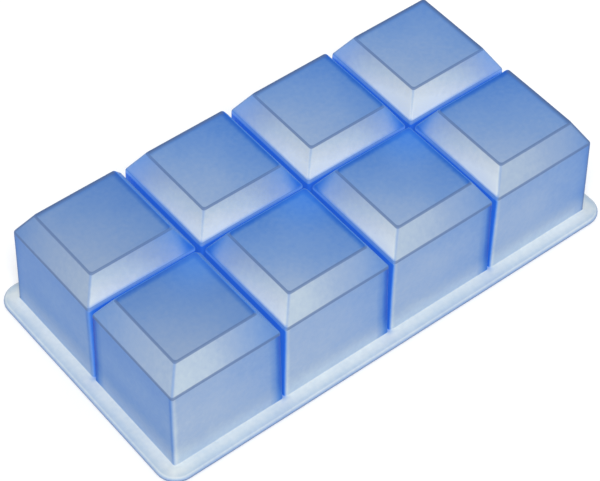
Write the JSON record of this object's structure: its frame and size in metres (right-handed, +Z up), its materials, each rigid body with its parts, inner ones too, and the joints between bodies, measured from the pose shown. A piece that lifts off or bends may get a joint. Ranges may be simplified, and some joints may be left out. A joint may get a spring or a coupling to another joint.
{
  "type": "silicone soap mould",
  "caption": "Flexible translucent blue silicone mould with a grid of cubic bevelled soap cups joined by a flat flange, lying mouth down; each cup floor can be pressed in to release the bar.",
  "frame": {"origin": "middle of the flange's underside, on the surface that the mould lies on", "axes": "+Z up from the mouths to the cup floors, +X along the length of the mould, +Y across it"},
  "size_m": [0.2208, 0.1168, 0.0524],
  "materials": {
    "silicone_flange": "matte, translucent, pale blue where it is thin",
    "silicone_web": "matte, translucent, deep blue",
    "silicone_wall": "matte, translucent",
    "silicone_shoulder": "matte, translucent",
    "silicone_floor": "matte, translucent"
  },
  "bodies": {
    "moulding": {"rim_flange": "silicone_flange", "web_grid": "silicone_web", "cup_wall_1": "silicone_wall", "cup_wall_2": "silicone_wall", "cup_wall_3": "silicone_wall", "cup_wall_4": "silicone_wall", "cup_wall_5": "silicone_wall", "cup_wall_6": "silicone_wall", "cup_wall_7": "silicone_wall", "cup_wall_8": "silicone_wall", "cup_shoulder_1": "silicone_shoulder", "cup_shoulder_2": "silicone_shoulder", "cup_shoulder_3": "silicone_shoulder", "cup_shoulder_4": "silicone_shoulder", "cup_shoulder_5": "silicone_shoulder", "cup_shoulder_6": "silicone_shoulder", "cup_shoulder_7": "silicone_shoulder", "cup_shoulder_8": "silicone_shoulder"},
    "floor_panel_1": {"cup_floor_1": "silicone_floor"},
    "floor_panel_2": {"cup_floor_2": "silicone_floor"},
    "floor_panel_3": {"cup_floor_3": "silicone_floor"},
    "floor_panel_4": {"cup_floor_4": "silicone_floor"},
    "floor_panel_5": {"cup_floor_5": "silicone_floor"},
    "floor_panel_6": {"cup_floor_6": "silicone_floor"},
    "floor_panel_7": {"cup_floor_7": "silicone_floor"},
    "floor_panel_8": {"cup_floor_8": "silicone_floor"}
  },
  "joints": [
    {"name": "press_floor_1", "type": "slide", "parent": "moulding", "child": "floor_panel_1", "axis": [0, 0, -1], "range_m": [0, 0.006], "stiffness_N_per_m": 600},
    {"name": "press_floor_2", "type": "slide", "parent": "moulding", "child": "floor_panel_2", "axis": [0, 0, -1], "range_m": [0, 0.006], "stiffness_N_per_m": 600},
    {"name": "press_floor_3", "type": "slide", "parent": "moulding", "child": "floor_panel_3", "axis": [0, 0, -1], "range_m": [0, 0.006], "stiffness_N_per_m": 600},
    {"name": "press_floor_4", "type": "slide", "parent": "moulding", "child": "floor_panel_4", "axis": [0, 0, -1], "range_m": [0, 0.006], "stiffness_N_per_m": 600},
    {"name": "press_floor_5", "type": "slide", "parent": "moulding", "child": "floor_panel_5", "axis": [0, 0, -1], "range_m": [0, 0.006], "stiffness_N_per_m": 600},
    {"name": "press_floor_6", "type": "slide", "parent": "moulding", "child": "floor_panel_6", "axis": [0, 0, -1], "range_m": [0, 0.006], "stiffness_N_per_m": 600},
    {"name": "press_floor_7", "type": "slide", "parent": "moulding", "child": "floor_panel_7", "axis": [0, 0, -1], "range_m": [0, 0.006], "stiffness_N_per_m": 600},
    {"name": "press_floor_8", "type": "slide", "parent": "moulding", "child": "floor_panel_8", "axis": [0, 0, -1], "range_m": [0, 0.006], "stiffness_N_per_m": 600}
  ]
}
